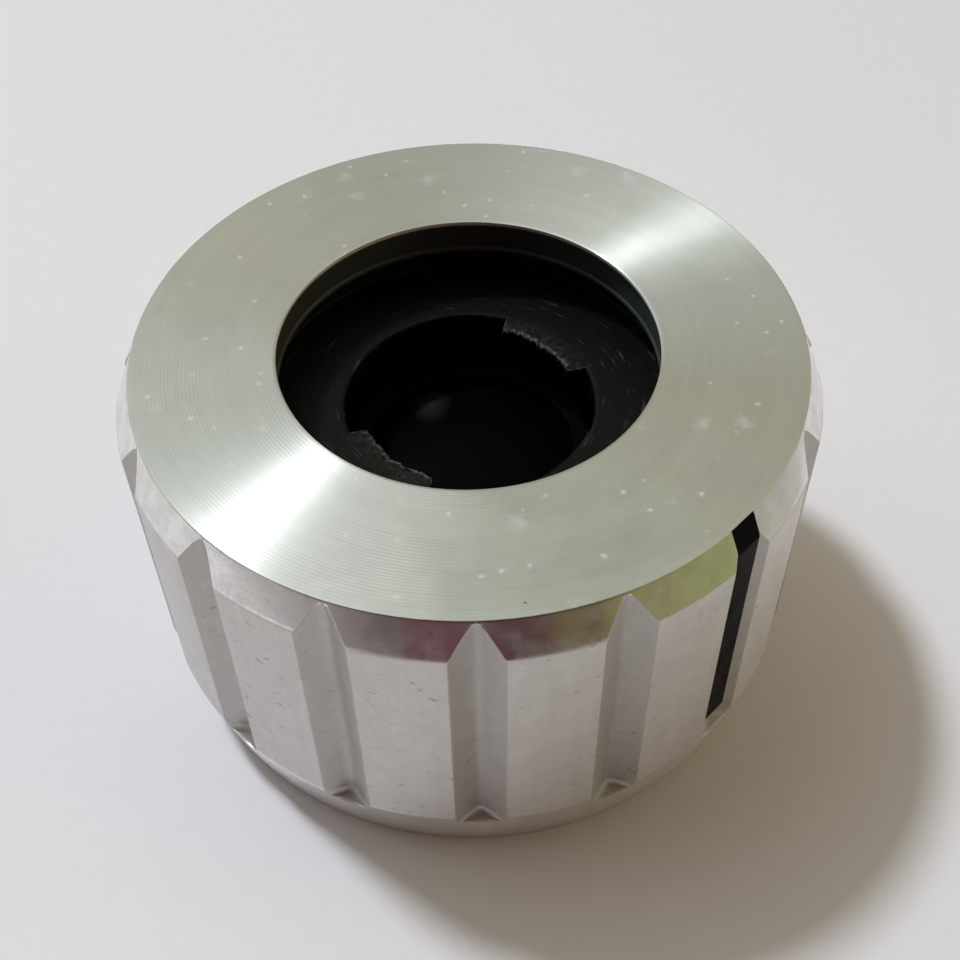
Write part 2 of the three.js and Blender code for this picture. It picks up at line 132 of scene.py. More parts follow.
# Follower and its spring
BOSS_RADIUS = 2.4
FLANGE_RADIUS = 6.66
FLANGE_BOTTOM = 10.9
FLANGE_TOP = 11.9
HEAD_RADIUS = 5.6
DOME_RISE = 0.9
FOLLOWER_ROUNDING = 0.08
# Painted highlight on the follower's dome: its centre, how far it reaches, and how much narrower it
# is along X
PAINTED_HIGHLIGHT_SPOT = (-2.3, 3.7, 12.9)
PAINTED_HIGHLIGHT_REACH = 2.0
PAINTED_HIGHLIGHT_NARROWING = 1.6
SPRING_BOTTOM_RADIUS = 5.9
SPRING_TOP_RADIUS = 3.5
SPRING_WIRE_RADIUS = 0.25
SPRING_TURNS = 2.75

# Key access holes of the two grub screws
KEY_ACCESS_RADIUS = 1.7
KEY_ACCESS_Z = 5.2
KEY_ACCESS_AZIMUTHS = (0, 90)

# Colours of marks, stains and wear, of the painted highlight on the follower, and of the floor paper
WHITE_SPECK = (0.95, 0.96, 0.94)
BROWN_DIRT = (0.16, 0.09, 0.04)
DARK_SPECK = (0.35, 0.32, 0.3)
BRIGHT_GRAIN = (1.0, 0.98, 0.96)
DARK_PIT = (0.25, 0.23, 0.22)
PALE_SCUFF = (0.10, 0.105, 0.095)
PALE_CHIP = (0.15, 0.165, 0.125)
LEDGE_BLACK = (0.0032, 0.0034, 0.0030)
FOLLOWER_BLACK = (0.001, 0.001, 0.001)
FOLLOWER_PAINTED_HIGHLIGHT = (0.017, 0.019, 0.019)
# The floor paper's colour at the left and at the right: the darkening to the right is painted shade
PAPER_LEFT = (0.86, 0.85, 0.845)
PAPER_RIGHT = (0.76, 0.75, 0.745)

# Painted shade in the socket's mouth: the colour goes dark from one height to the other, down to a
# share of its colour
MOUTH_PAINTED_SHADE_STARTS = LEDGE_Z - 0.3
MOUTH_PAINTED_SHADE_FULL = LEDGE_Z - 1.6
MOUTH_PAINTED_SHADE_SHARE = 0.12

# How far the lathe rings wander, in radians of their own wave; how far their highlight is turned
RING_WANDER = 12.0
QUARTER_TURN = 0.25

# Finish of the CAD nodes that stay in view
BROKEN_EDGE = 0.06
BROKEN_EDGE_ANGLE = 35

# Floor, and a far wall behind everything
FLOOR_HALF_WIDTH = 3000.0
FLOOR_PAINTED_SHADE_SPAN = 60.0
BACKDROP_RADIUS = 1500.0
BACKDROP_HEIGHT = 1500.0
BACKDROP_COLOUR = (0.66, 0.66, 0.66)

# Key light: a wide lamp for light and shadow, and a narrow one for its shine
LAMP_AZIMUTH = 137.5
LAMP_ELEVATION = 57.5
LAMP_ANGLE = 7.0
LAMP_ENERGY = 1.92
LAMP_COLOUR = (0.92, 0.985, 1.11)
SHINE_ANGLE = 4.0
SHINE_ENERGY = 0.3
SHINE_COLOUR = (0.96, 1.0, 0.99)

# Colour of the room, and its soft patches: azimuth, elevation, inner and outer half angle, colour
ROOM = (0.33, 0.15, 0.04)
ROOM_PATCHES = (
    (80, 50, 15, 70, (0.235, 0.24, 0.18)),
    (122, 69, 8, 43, (0.70, 0.73, 0.62)),
    (165, 25, 15, 60, (0.42, 0.43, 0.40)),
    (5, 20, 15, 55, (0.62, 0.46, 0.30)),
    (-15, 8, 5, 38, (1.5, 1.25, 0.95)),
    (-100, 15, 30, 100, (0.045, 0.016, 0.008)),
    (158, 52, 5, 26, (0.95, 1.0, 1.0)),
    (128, 35, 3, 16, (0.8, 0.82, 0.8)),
    (140, 66, 4, 23, (1.2, 1.23, 1.2)),
)

# Glowing card that stands for the room in front: it bends nearer from one azimuth to the other
SCREEN_RADIUS = 110.0
SCREEN_NEAR_RADIUS = 60.0
SCREEN_BEND = (-56.0, -42.0)
SCREEN_TOP = 60.0
SCREEN_COLOURS = (
    (-160, (0.50, 0.49, 0.48)),
    (-138, (0.36, 0.34, 0.34)),
    (-122, (0.20, 0.17, 0.165)),
    (-112, (0.11, 0.085, 0.085)),
    (-101, (0.12, 0.042, 0.055)),
    (-88, (0.085, 0.040, 0.048)),
    (-74, (0.085, 0.045, 0.045)),
    (-66, (0.15, 0.12, 0.05)),
    (-61, (0.09, 0.065, 0.045)),
    (-55, (0.21, 0.17, 0.05)),
    (-46, (0.26, 0.25, 0.125)),
    (-36, (0.27, 0.275, 0.135)),
    (-24, (0.28, 0.30, 0.13)),
    (-14, (0.42, 0.42, 0.36)),
    (8, (0.47, 0.46, 0.42)),
)
SCREEN_START = SCREEN_COLOURS[0][0]
SCREEN_END = SCREEN_COLOURS[-1][0]

# Camera; the roll is in degrees, the lens and sensor in the camera's own millimetres
CAMERA_PLACE = (0.0, -53.135, 71.018)
CAMERA_TARGET = (0.392, -9.689, HEIGHT)
CAMERA_ROLL = -1.162
CAMERA_LENS = 50.97
CAMERA_SENSOR = 36
CAMERA_NEAREST = 1.0

# How finely the grip is divided. Across a flute and its land: shares of the flute's half width,
# distances from its edge, and shares of the land. Upwards: heights, and shares of the chamfer
FLUTE_FRACTIONS = np.array([0, 0.12, 0.25, 0.4, 0.55, 0.7, 0.84])
EDGE_OFFSETS = np.array([-0.1, -0.05, -0.018, 0.012, 0.045, 0.1])
LAND_FRACTIONS = np.array([0.07, 0.22, 0.45, 0.72])
NARROW_FLUTE = 0.4
NARROWEST_FLUTE = 0.05
OFFSETS_IN_FLUTE = 4
RIM_ROWS = (0.14, 1.2, 2.6, 3.3)
RUNOUT_ROW_COUNT = 9
LAND_ROWS = (6.0, 9.0, 12.0, 15.0, 18.0)
CHAMFER_ROWS = (0.05, 0.15, 0.3, 0.45, 0.6, 0.7, 0.78, 0.84, 0.88, 0.91, 0.935, 0.965)

# Rows of the face: (inset, drop) over its broken edge, then radii
FACE_EDGE_ROWS = ((0.005, 0.012), (0.035, 0.0), (0.1, 0.0))
FACE_ROWS = (FACE_RADIUS - 0.9, 15.0, 12.5, HOLE_RADIUS + 0.2)

# Rows of the socket: radii on its ledge, the dogs' wear from row to row, the first in the mouth
LEDGE_ROWS = (10.2, 8.6, 7.6)
WEAR_ROWS = {10: 0.15, 11: 0.8, 12: 1.0, 13: 0.4}
FIRST_MOUTH_ROW = 13

# How finely the other round shapes are divided
COLLAR_COLUMNS = 256
SOCKET_COLUMNS = 900
FOLLOWER_COLUMNS = 160
DOME_ROW_COUNT = 24
SPRING_STEPS = 200
SPRING_SIDES = 12
KEY_ACCESS_SIDES = 48
BACKDROP_COLUMNS = 96
SCREEN_COLUMNS = 100
FILLET_STEPS = 4

# Turned pieces stay this far off the axis
AXIS_GAP = 0.02

# Faces that meet at more than this many degrees keep a sharp edge between them
SHARP_ANGLE = 40
SOCKET_SHARP_ANGLE = 50

# How far a cutter stands out of what it cuts
CUT_MARGIN = 1.0

# Material slots of the grip's mesh, in the order its materials are given
FACE, CHAMFER, LAND, FLUTE, RIM, INSIDE = range(6)


# ---------------------------------------------------------------- meshes


def mesh_object(name, points, faces, materials=(), zones=None):
    """A smooth-shaded mesh object from points in millimetres."""
    mesh = bpy.data.meshes.new(name)
    mesh.from_pydata((np.asarray(points) * MM).tolist(), [], faces)
    for material in materials:
        mesh.materials.append(material)
    if zones is not None:
        mesh.polygons.foreach_set("material_index", np.asarray(zones, np.int32))
    mesh.polygons.foreach_set("use_smooth", np.ones(len(mesh.polygons), bool))
    mesh.update()
    obj = bpy.data.objects.new(name, mesh)
    bpy.context.scene.collection.objects.link(obj)
    return obj


def grid_faces(row_count, column_count, rows_close):
    """Quads between neighbouring rows. Columns always run all the way round."""
    index = np.arange(row_count * column_count).reshape(row_count, column_count)
    above = np.roll(index, -1, axis=0)
    if not rows_close:
        index, above = index[:-1], above[:-1]
    quads = [index, np.roll(index, -1, axis=1), np.roll(above, -1, axis=1), above]
    return np.stack(quads, axis=-1).reshape(-1, 4).tolist()


def full_turn(count):
    """Evenly spaced angles all the way round, in radians."""
    return np.linspace(0, 2 * math.pi, count, endpoint=False)


def around(radii, heights, azimuths):
    """Points about Z. The arguments are numbers or arrays; azimuths are in radians."""
    radii, heights, azimuths = np.broadcast_arrays(radii, heights, azimuths)
    return np.stack([radii * np.cos(azimuths), radii * np.sin(azimuths), heights], axis=-1)


def turned(name, rows, azimuths, materials, zones=None):
    """A ring about Z from a closed outline of (radius, z) that stays off the axis."""
    points = np.concatenate([around(radius, z, azimuths) for radius, z in rows])
    faces = grid_faces(len(rows), len(azimuths), rows_close=True)
    return mesh_object(name, points, faces, materials, zones)


def filleted(profile, radius, steps=FILLET_STEPS):
    """A closed outline of corners, with the corners rounded."""
    corners = np.asarray(profile, float)
    result = []
    for before, corner, after in zip(np.roll(corners, 1, 0), corners, np.roll(corners, -1, 0)):
        inward = (before - corner) / np.linalg.norm(before - corner)
        outward = (after - corner) / np.linalg.norm(after - corner)
        half = math.acos(np.clip(inward @ outward, -1, 1)) / 2
        limit = 0.45 * min(np.linalg.norm(before - corner), np.linalg.norm(after - corner))
        reach = min(radius / math.tan(half), limit)
        start = corner + inward * reach
        end = corner + outward * reach
        for t in np.linspace(0, 1, steps + 1):
            result.append((1 - t) ** 2 * start + 2 * t * (1 - t) * corner + t**2 * end)
    return np.array(result)


def capped_tube(name, rings, materials=(), smooth=False):
    """A tube with flat ends, from rings that run anticlockwise seen from the last one."""
    ring_count, side_count, _ = rings.shape
    sides = grid_faces(ring_count, side_count, rows_close=False)
    first = list(range(side_count))
    last = [i + (ring_count - 1) * side_count for i in first]
    obj = mesh_object(name, rings.reshape(-1, 3), [*sides, first[::-1], last], materials)
    obj.data.polygons.foreach_set("use_smooth", [smooth] * len(sides) + [False, False])
    return obj


def at_azimuth(obj, azimuth):
    """Turns a mesh object about Z, from azimuth 0 where it was made."""
    obj.data.transform(Matrix.Rotation(math.radians(azimuth), 4, "Z"))
    return obj


def box_object(name, low, high, azimuth, materials=()):
    """A box from two corners in millimetres, turned about Z."""
    corners = list(itertools.product(*zip(low, high)))
    faces = [[0, 1, 3, 2], [4, 6, 7, 5], [0, 4, 5, 1], [2, 3, 7, 6], [0, 2, 6, 4], [1, 5, 7, 3]]
    return at_azimuth(mesh_object(name, corners, faces, materials), azimuth)


def carve(obj, cutters):
    """Cuts the cutters out of a mesh object, and removes them."""
    for cutter in cutters:
        modifier = obj.modifiers.new("cut", "BOOLEAN")
        modifier.operation = "DIFFERENCE"
        modifier.solver = "MANIFOLD"
        modifier.object = cutter
    bpy.context.view_layer.update()
    evaluated = obj.evaluated_get(bpy.context.evaluated_depsgraph_get())
    mesh = bpy.data.meshes.new_from_object(evaluated)
    obj.modifiers.clear()
    obj.data = mesh
    for cutter in cutters:
        bpy.data.objects.remove(cutter)


# ---------------------------------------------------------------- grip shell


def flute_slope():
    """How far a flute's wall runs sideways for each millimetre outwards, rounded floor aside."""
    edge_x = math.sqrt(LAND_RADIUS**2 - FLUTE_HALF_WIDTH**2)
    run = math.hypot(FLUTE_HALF_WIDTH, FLUTE_ROUNDING) - FLUTE_ROUNDING
    return run / (edge_x - FLUTE_FLOOR_RADIUS)


def flute_wall(y):
    """Distance of the flute's surface from the axis plane, at a sideways distance y."""
    return FLUTE_FLOOR_RADIUS + (np.hypot(y, FLUTE_ROUNDING) - FLUTE_ROUNDING) / flute_slope()


def flute_edge(radius, halvings=40):
    """Half the width of a flute where it meets a body of that radius, found by halving a range."""
    low = 0.0
    high = 1.2 * FLUTE_HALF_WIDTH
    for _ in range(halvings):
        middle = (low + high) / 2
        inside = flute_wall(middle) < math.sqrt(radius**2 - middle**2)
        low, high = (middle, high) if inside else (low, middle)
    return max(low, NARROWEST_FLUTE)


def rounded_minimum(a, b):
    """The smaller of two numbers, with the change from one to the other rounded off."""
    overlap = np.maximum(EDGE_ROUNDING - np.abs(a - b), 0) / EDGE_ROUNDING
    return np.minimum(a, b) - overlap**2 * EDGE_ROUNDING / 4


def flute_pitch(radius, depth):
    """[x, y] across a flute and half a land on each side, the flute cut to a share of its depth."""
    edge = flute_edge(radius)
    near_edge = edge + EDGE_OFFSETS * min(1, edge / NARROW_FLUTE)
    y = np.concatenate([FLUTE_FRACTIONS * edge, near_edge])
    x = np.sqrt(radius**2 - y**2)
    x += depth * (rounded_minimum(x, flute_wall(y)) - x)
    half_pitch = math.pi / FLUTE_COUNT
    land_start = math.atan2(y[-1], x[-1])
    land = land_start + LAND_FRACTIONS * (half_pitch - land_start)
    x = np.concatenate([x, radius * np.cos(land)])
    y = np.concatenate([y, radius * np.sin(land)])
    half = np.stack([x, y], axis=-1)
    mirrored = half[:0:-1] * [1, -1]
    middle = radius * np.array([[math.cos(half_pitch), math.sin(half_pitch)]])
    return np.concatenate([mirrored, half, middle])


def grip_row(radius, z, depth):
    """One row of the grip's outside, all the way round."""
    pitch = flute_pitch(radius, depth)
    row = []
    for turn in full_turn(FLUTE_COUNT):
        rotation = np.array([[math.cos(turn), math.sin(turn)], [-math.sin(turn), math.cos(turn)]])
        row.append(pitch @ rotation)
    row = np.concatenate(row)
    return np.concatenate([row, np.full((len(row), 1), z)], axis=1)


def plain_row(radius, z, columns):
    """One row of an even circle, starting at the same azimuth as a grip row."""
    start = -math.radians(360 / FLUTE_COUNT) / 2 + math.radians(360 / columns)
    return around(radius, z, start + full_turn(columns))


def resized_row(row, radius, z):
    """The same azimuths at another radius and height."""
    flat = row[:, :2] * (radius / np.linalg.norm(row[:, :2], axis=1, keepdims=True))
    return np.concatenate([flat, np.full((len(row), 1), z)], axis=1)


def outside_rows():
    """(radius, z, flute depth, zone) of the rows from the rim's foot to the face's edge.

    The edges between rim, land and chamfer are broken by a few thousandths of a millimetre.
    """
    slope = (LAND_RADIUS - RIM_BASE_RADIUS) / RIM_HEIGHT
    chamfer_bottom = HEIGHT - CHAMFER_HEIGHT
    rows = [
        (RIM_BASE_RADIUS - RIM_FOOT_ROUNDING, 0.0, 0, RIM),
        (RIM_BASE_RADIUS - RIM_FOOT_ROUNDING / 4, RIM_FOOT_ROUNDING / 4, 0, RIM),
    ]
    for z in RIM_ROWS:
        rows.append((RIM_BASE_RADIUS + slope * z, z, 0, RIM))
    for turn in np.linspace(0, math.pi / 2, RUNOUT_ROW_COUNT):
        z = FLUTE_END_HEIGHT + FLUTE_RUNOUT * (1 - math.cos(turn))
        radius = min(RIM_BASE_RADIUS + slope * z, LAND_RADIUS - 0.004)
        rows.append((radius, z, math.sin(turn), RIM))
    rows.append((LAND_RADIUS - 0.002, RIM_HEIGHT + 0.05, 1, RIM))
    rows.append((LAND_RADIUS, RIM_HEIGHT + 0.14, 1, LAND))
    for z in (*LAND_ROWS, chamfer_bottom - 0.1):
        rows.append((LAND_RADIUS, z, 1, LAND))
    rows.append((LAND_RADIUS - 0.008, chamfer_bottom, 1, LAND))
    for share in CHAMFER_ROWS:
        radius = LAND_RADIUS - CHAMFER_WIDTH * share
        rows.append((radius, chamfer_bottom + CHAMFER_HEIGHT * share, 1, CHAMFER))
    return rows


def inside_rows():
    """(radius, z, zone) from the face's edge through the hole and the cavity back to the rim."""
    return [
        *[(radius, HEIGHT, FACE) for radius in FACE_ROWS],
        (HOLE_RADIUS + 0.03, HEIGHT - 0.002, FACE),
        (HOLE_RADIUS + 0.006, HEIGHT - 0.02, INSIDE),
        (HOLE_RADIUS, HEIGHT - 0.1, INSIDE),
        (HOLE_RADIUS + 0.03, HEIGHT - HOLE_EDGE_THICKNESS, INSIDE),
        (HOLE_TAPER_RADIUS, PLATE_BOTTOM, INSIDE),
        (CAVITY_RADIUS - 0.2, PLATE_BOTTOM, INSIDE),
        (CAVITY_RADIUS, PLATE_BOTTOM - 0.2, INSIDE),
        (CAVITY_RADIUS, COVER_SEAT_HEIGHT, INSIDE),
        (COVER_SEAT_RADIUS, COVER_SEAT_HEIGHT, INSIDE),
        (COVER_SEAT_RADIUS, RIM_FOOT_ROUNDING, INSIDE),
        (COVER_SEAT_RADIUS + RIM_FOOT_ROUNDING, 0.0, RIM),
    ]


def flute_faces(depths, columns):
    """True for each face of the outside's rows that lies in a flute or on its rounded edge."""
    per_flute = columns // FLUTE_COUNT
    floor = per_flute // 2 - 1
    reach = len(FLUTE_FRACTIONS) + OFFSETS_IN_FLUTE
    across = np.abs(np.arange(columns) % per_flute + 0.5 - floor) < reach
    return np.outer(np.array(depths) > 0, across)


def index_slots():
    """The cutters of the index strip's slot and of the slot for its key."""
    half_slot = INDEX_HALF_WIDTH + SLOT_GAP
    strip = box_object(
        "slot",
        (INDEX_BACK_RADIUS - SLOT_GAP, -half_slot, INDEX_BOTTOM - SLOT_GAP),
        (LAND_RADIUS + CUT_MARGIN, half_slot, HEIGHT + CUT_MARGIN),
        INDEX_AZIMUTH,
    )
    half_key = INDEX_KEY_HALF_WIDTH + SLOT_GAP
    key = box_object(
        "key_slot",
        (CAVITY_RADIUS - CUT_MARGIN, -half_key, INDEX_KEY_SLOT_BOTTOM),
        (LAND_RADIUS, half_key, INDEX_KEY_TOP + SLOT_GAP),
        INDEX_AZIMUTH,
    )
    return [strip, key]


def key_access_hole(azimuth):
    """The cutter of one key access hole."""
    ring = full_turn(KEY_ACCESS_SIDES)
    y = KEY_ACCESS_RADIUS * np.cos(ring)
    z = KEY_ACCESS_Z + KEY_ACCESS_RADIUS * np.sin(ring)
    ends = (CAVITY_RADIUS - CUT_MARGIN, LAND_RADIUS + CUT_MARGIN)
    rings = np.stack([np.stack([np.full_like(y, x), y, z], axis=-1) for x in ends])
    return at_azimuth(capped_tube("hole", rings), azimuth)


def grip_shell(materials):
    """The aluminium grip: flutes outside, then the face, the hole and the cavity."""
    outer = outside_rows()
    rows = [grip_row(radius, z, depth) for radius, z, depth, _ in outer]
    zones = [zone for _, _, _, zone in outer]
    columns = len(rows[0])
    face_edge = rows[-1]
    for inset, drop in FACE_EDGE_ROWS:
        rows.append(resized_row(face_edge, FACE_RADIUS - inset, HEIGHT - drop))
        zones.append(FACE)
    for radius, z, zone in inside_rows():
        rows.append(plain_row(radius, z, columns))
        zones.append(zone)
    faces = grid_faces(len(rows), columns, rows_close=True)
    face_zones = np.repeat(zones, columns).reshape(len(rows), columns)
    in_flute = flute_faces([depth for _, _, depth, _ in outer], columns)
    face_zones[: len(outer)][in_flute] = FLUTE
    points = np.concatenate(rows)
    obj = mesh_object("grip_shell_turned", points, faces, materials, face_zones.reshape(-1))
    carve(obj, index_slots() + [key_access_hole(azimuth) for azimuth in KEY_ACCESS_AZIMUTHS])
    obj.data.set_sharp_from_angle(angle=math.radians(SHARP_ANGLE))
    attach(obj, "grip_and_core")
    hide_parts("grip_shell")


def index_strip(material):
    """The black strip, flush in its flute, with the key behind it."""
    slope = CHAMFER_HEIGHT / CHAMFER_WIDTH
    shoulder = HEIGHT - (INDEX_FACE_RADIUS - FACE_RADIUS) * slope
    side = [
        (INDEX_BACK_RADIUS, INDEX_BOTTOM),
        (INDEX_FACE_RADIUS, INDEX_BOTTOM),
        (INDEX_FACE_RADIUS, shoulder),
        (FACE_RADIUS, INDEX_TOP),
        (INDEX_BACK_RADIUS, INDEX_TOP),
    ]
    outline = filleted(side, INDEX_ROUNDING, steps=2)
    smaller = outline - INDEX_ROUNDING * np.sign(outline - outline.mean(axis=0))
    rings = []
    for share, section in ((1, smaller), (0.95, outline), (-0.95, outline), (-1, smaller)):
        y = np.full(len(section), share * INDEX_HALF_WIDTH)
        rings.append(np.stack([section[:, 0], y, section[:, 1]], axis=-1))
    obj = at_azimuth(capped_tube("index_strip", np.stack(rings), [material]), INDEX_AZIMUTH)
    key = box_object(
        "index_key",
        (INDEX_KEY_INNER_RADIUS, -INDEX_KEY_HALF_WIDTH, INDEX_KEY_BOTTOM),
        (INDEX_BACK_RADIUS, INDEX_KEY_HALF_WIDTH, INDEX_KEY_TOP),
        INDEX_AZIMUTH,
        [material],
    )
    for part in (obj, key):
        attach(part, "grip_and_core")
    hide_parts("index_insert")


# ---------------------------------------------------------------- core


def retaining_collar(material):
    """The black lip inside the hole, with a thin bead on its lower edge."""
    bead_radius = COLLAR_BORE_RADIUS - BEAD_WIDTH
    bead_top = COLLAR_BOTTOM + BEAD_HEIGHT
    profile = [
        (COLLAR_BORE_RADIUS, bead_top),
        (bead_radius, bead_top - BEAD_SLOPE_HEIGHT),
        (bead_radius, COLLAR_BOTTOM),
        (CORE_RADIUS, COLLAR_BOTTOM),
        (CORE_RADIUS, PLATE_BOTTOM - 0.3),
        (HOLE_TAPER_RADIUS, PLATE_BOTTOM - 0.1),
        (HOLE_RADIUS + 0.13, HEIGHT - HOLE_EDGE_THICKNESS - 0.06),
    ]
    outline = filleted(profile, COLLAR_ROUNDING)
    obj = turned("collar_moulded", outline, full_turn(COLLAR_COLUMNS), [material])
    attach(obj, "grip_and_core")
    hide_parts("retaining_collar")


def ripple(azimuths, seed, waves, amplitude):
    """A repeatable ragged line round a circle: a sum of waves that die out as they get finer."""
    random = np.random.default_rng(seed)
    total = np.zeros_like(azimuths)
    for wave in waves:
        total += np.sin(wave * azimuths + random.uniform(0, 2 * math.pi)) / math.sqrt(wave)
    return amplitude * total * math.sqrt(min(waves)) / len(waves)


def dog_share(degrees):
    """1 on a dog, 0 off it, with a steep flank between."""
    share = np.zeros_like(degrees)
    for centre in DOG_AZIMUTHS:
        away = np.abs((degrees - centre + 180) % 360 - 180)
        flank = ((DOG_SPAN + DOG_FLANK_SPAN) / 2 - away) / DOG_FLANK_SPAN
        share = np.maximum(share, np.clip(flank, 0, 1))
    return share * share * (3 - 2 * share)


def mouth_radius(degrees):
    """Radius of the socket's mouth at the ledge: an uneven bore with two ragged dogs."""
    angles = np.radians(degrees)
    arc_start, arc_end = MOUTH_NARROW_ARC
    narrow = np.where((degrees > arc_start) & (degrees < arc_end), MOUTH_NARROWING, 0.0)
    uneven = ripple(angles, seed=5, waves=(9, 23, 47), amplitude=MOUTH_RAGGEDNESS)
    ragged = ripple(angles, seed=3, waves=(13, 29, 47, 83, 170), amplitude=DOG_RAGGEDNESS)
    bore = SOCKET_BORE_RADIUS - narrow + uneven
    tip = DOG_TIP_RADIUS + ragged
    return bore + (tip - bore) * dog_share(degrees)


def socket_rows(mouth, burr):
    """(radius, z) of the socket, from its outside over the ledge and through the mouth.

    The mouth's edge is rounded over, and the dogs' burr stands on it.
    """
    bore = SOCKET_BORE_RADIUS
    return [
        (CORE_RADIUS, SOCKET_BOTTOM),
        (CORE_RADIUS, SOCKET_TOP),
        (UNDERCUT_RADIUS + SOCKET_ROUNDING, SOCKET_TOP),
        (UNDERCUT_RADIUS, SOCKET_TOP - SOCKET_ROUNDING),
        (UNDERCUT_RADIUS, LEDGE_Z + UNDERCUT_FILLET),
        (UNDERCUT_RADIUS - UNDERCUT_FILLET_INSET, LEDGE_Z + UNDERCUT_FILLET_INSET),
        (UNDERCUT_RADIUS - UNDERCUT_FILLET, LEDGE_Z),
        *[(radius, LEDGE_Z) for radius in LEDGE_ROWS],
        (mouth + 0.3, LEDGE_Z + burr * 0.03),
        (mouth + 0.12, LEDGE_Z - 0.01 + burr * 0.12),
        (mouth + 0.03, LEDGE_Z - 0.06 + burr * 0.08),
        (mouth, LEDGE_Z - 0.16),
        (mouth + 0.05, LEDGE_Z - 0.6),
        (mouth + 0.03, DOG_BOTTOM + 0.1),
        (mouth + 0.12, DOG_BOTTOM),
        (bore, DOG_BOTTOM - 0.12),
        (bore, STOP_TOP + SOCKET_ROUNDING),
        (bore - SOCKET_ROUNDING, STOP_TOP),
        (STOP_RADIUS + SOCKET_ROUNDING, STOP_TOP),
        (STOP_RADIUS, STOP_TOP - SOCKET_ROUNDING),
        (STOP_RADIUS, STOP_BOTTOM),
        (bore, STOP_BOTTOM),
        (bore, SOCKET_BOTTOM),
    ]


def drive_socket(materials):
    """The socket; its materials are the ledge's and the mouth's."""
    degrees = np.linspace(0, 360, SOCKET_COLUMNS, endpoint=False)
    angles = np.radians(degrees)
    share = dog_share(degrees)
    crumbs = ripple(angles, seed=11, waves=(37, 61, 97, 151), amplitude=BURR_SIZE)
    burr = share * np.maximum(crumbs, 0)
    rows = socket_rows(mouth_radius(degrees), burr)
    zones = np.repeat(np.arange(len(rows)) >= FIRST_MOUTH_ROW, SOCKET_COLUMNS)
    obj = turned("socket_moulded", rows, angles, materials, zones)
    wear = np.zeros((len(rows), SOCKET_COLUMNS))
    for row, amount in WEAR_ROWS.items():
        wear[row] = amount * share + 2 * share * (1 - share)
    attribute = obj.data.attributes.new("wear", "FLOAT", "POINT")
    attribute.data.foreach_set("value", wear.reshape(-1).astype(np.float32))
    obj.data.set_sharp_from_angle(angle=math.radians(SOCKET_SHARP_ANGLE))
    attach(obj, "grip_and_core")
    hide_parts("drive_socket")


def follower_dome(material):
    """The domed follower, between the heights of its CAD node."""
    low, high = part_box("follower")
    bottom = low.z / MM
    apex = high.z / MM
    sphere = (HEAD_RADIUS**2 + DOME_RISE**2) / (2 * DOME_RISE)
    dome_radii = np.linspace(HEAD_RADIUS - 0.1, AXIS_GAP, DOME_ROW_COUNT)
    dome = [(radius, apex - sphere + math.sqrt(sphere**2 - radius**2)) for radius in dome_radii]
    rows = [
        (AXIS_GAP, bottom),
        (BOSS_RADIUS - 0.1, bottom),
        (BOSS_RADIUS, bottom + 0.1),
        (BOSS_RADIUS, FLANGE_BOTTOM),
        (FLANGE_RADIUS - FOLLOWER_ROUNDING, FLANGE_BOTTOM),
        (FLANGE_RADIUS, FLANGE_BOTTOM + FOLLOWER_ROUNDING),
        (FLANGE_RADIUS, FLANGE_TOP - FOLLOWER_ROUNDING),
        (FLANGE_RADIUS - FOLLOWER_ROUNDING, FLANGE_TOP),
        (HEAD_RADIUS, FLANGE_TOP),
        (HEAD_RADIUS, apex - DOME_RISE - FOLLOWER_ROUNDING),
        *dome,
    ]
    obj = turned("follower_moulded", rows, full_turn(FOLLOWER_COLUMNS), [material])
    obj.data.set_sharp_from_angle(angle=math.radians(SHARP_ANGLE))
    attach(obj, "follower")
    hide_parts("follower")


def return_spring(material):
    """The conical spring, wound between the heights of its CAD node."""
    low, high = (corner.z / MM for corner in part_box("return_spring"))
    t = np.linspace(0, 1, SPRING_STEPS)[:, None]
    ring = full_turn(SPRING_SIDES)[None, :]
    radius = SPRING_BOTTOM_RADIUS + (SPRING_TOP_RADIUS - SPRING_BOTTOM_RADIUS) * t
    radius = radius + SPRING_WIRE_RADIUS * np.cos(ring)
    height = low + SPRING_WIRE_RADIUS + (high - low - 2 * SPRING_WIRE_RADIUS) * t
    height = height - SPRING_WIRE_RADIUS * np.sin(ring)
    rings = around(radius, height, 2 * math.pi * SPRING_TURNS * t)
    obj = capped_tube("spring_wound", rings, [material], smooth=True)
    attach(obj, "grip_and_core")
    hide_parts("return_spring")
    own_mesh(obj)


# ---------------------------------------------------------------- materials


def opaque(colour):
    """A colour with its alpha; a node's output stays as it is."""
    return colour if isinstance(colour, bpy.types.NodeSocket) else (*colour, 1)


def shaded(colour, factor):
    """The same colour, darker or lighter."""
    return tuple(factor * part for part in colour)


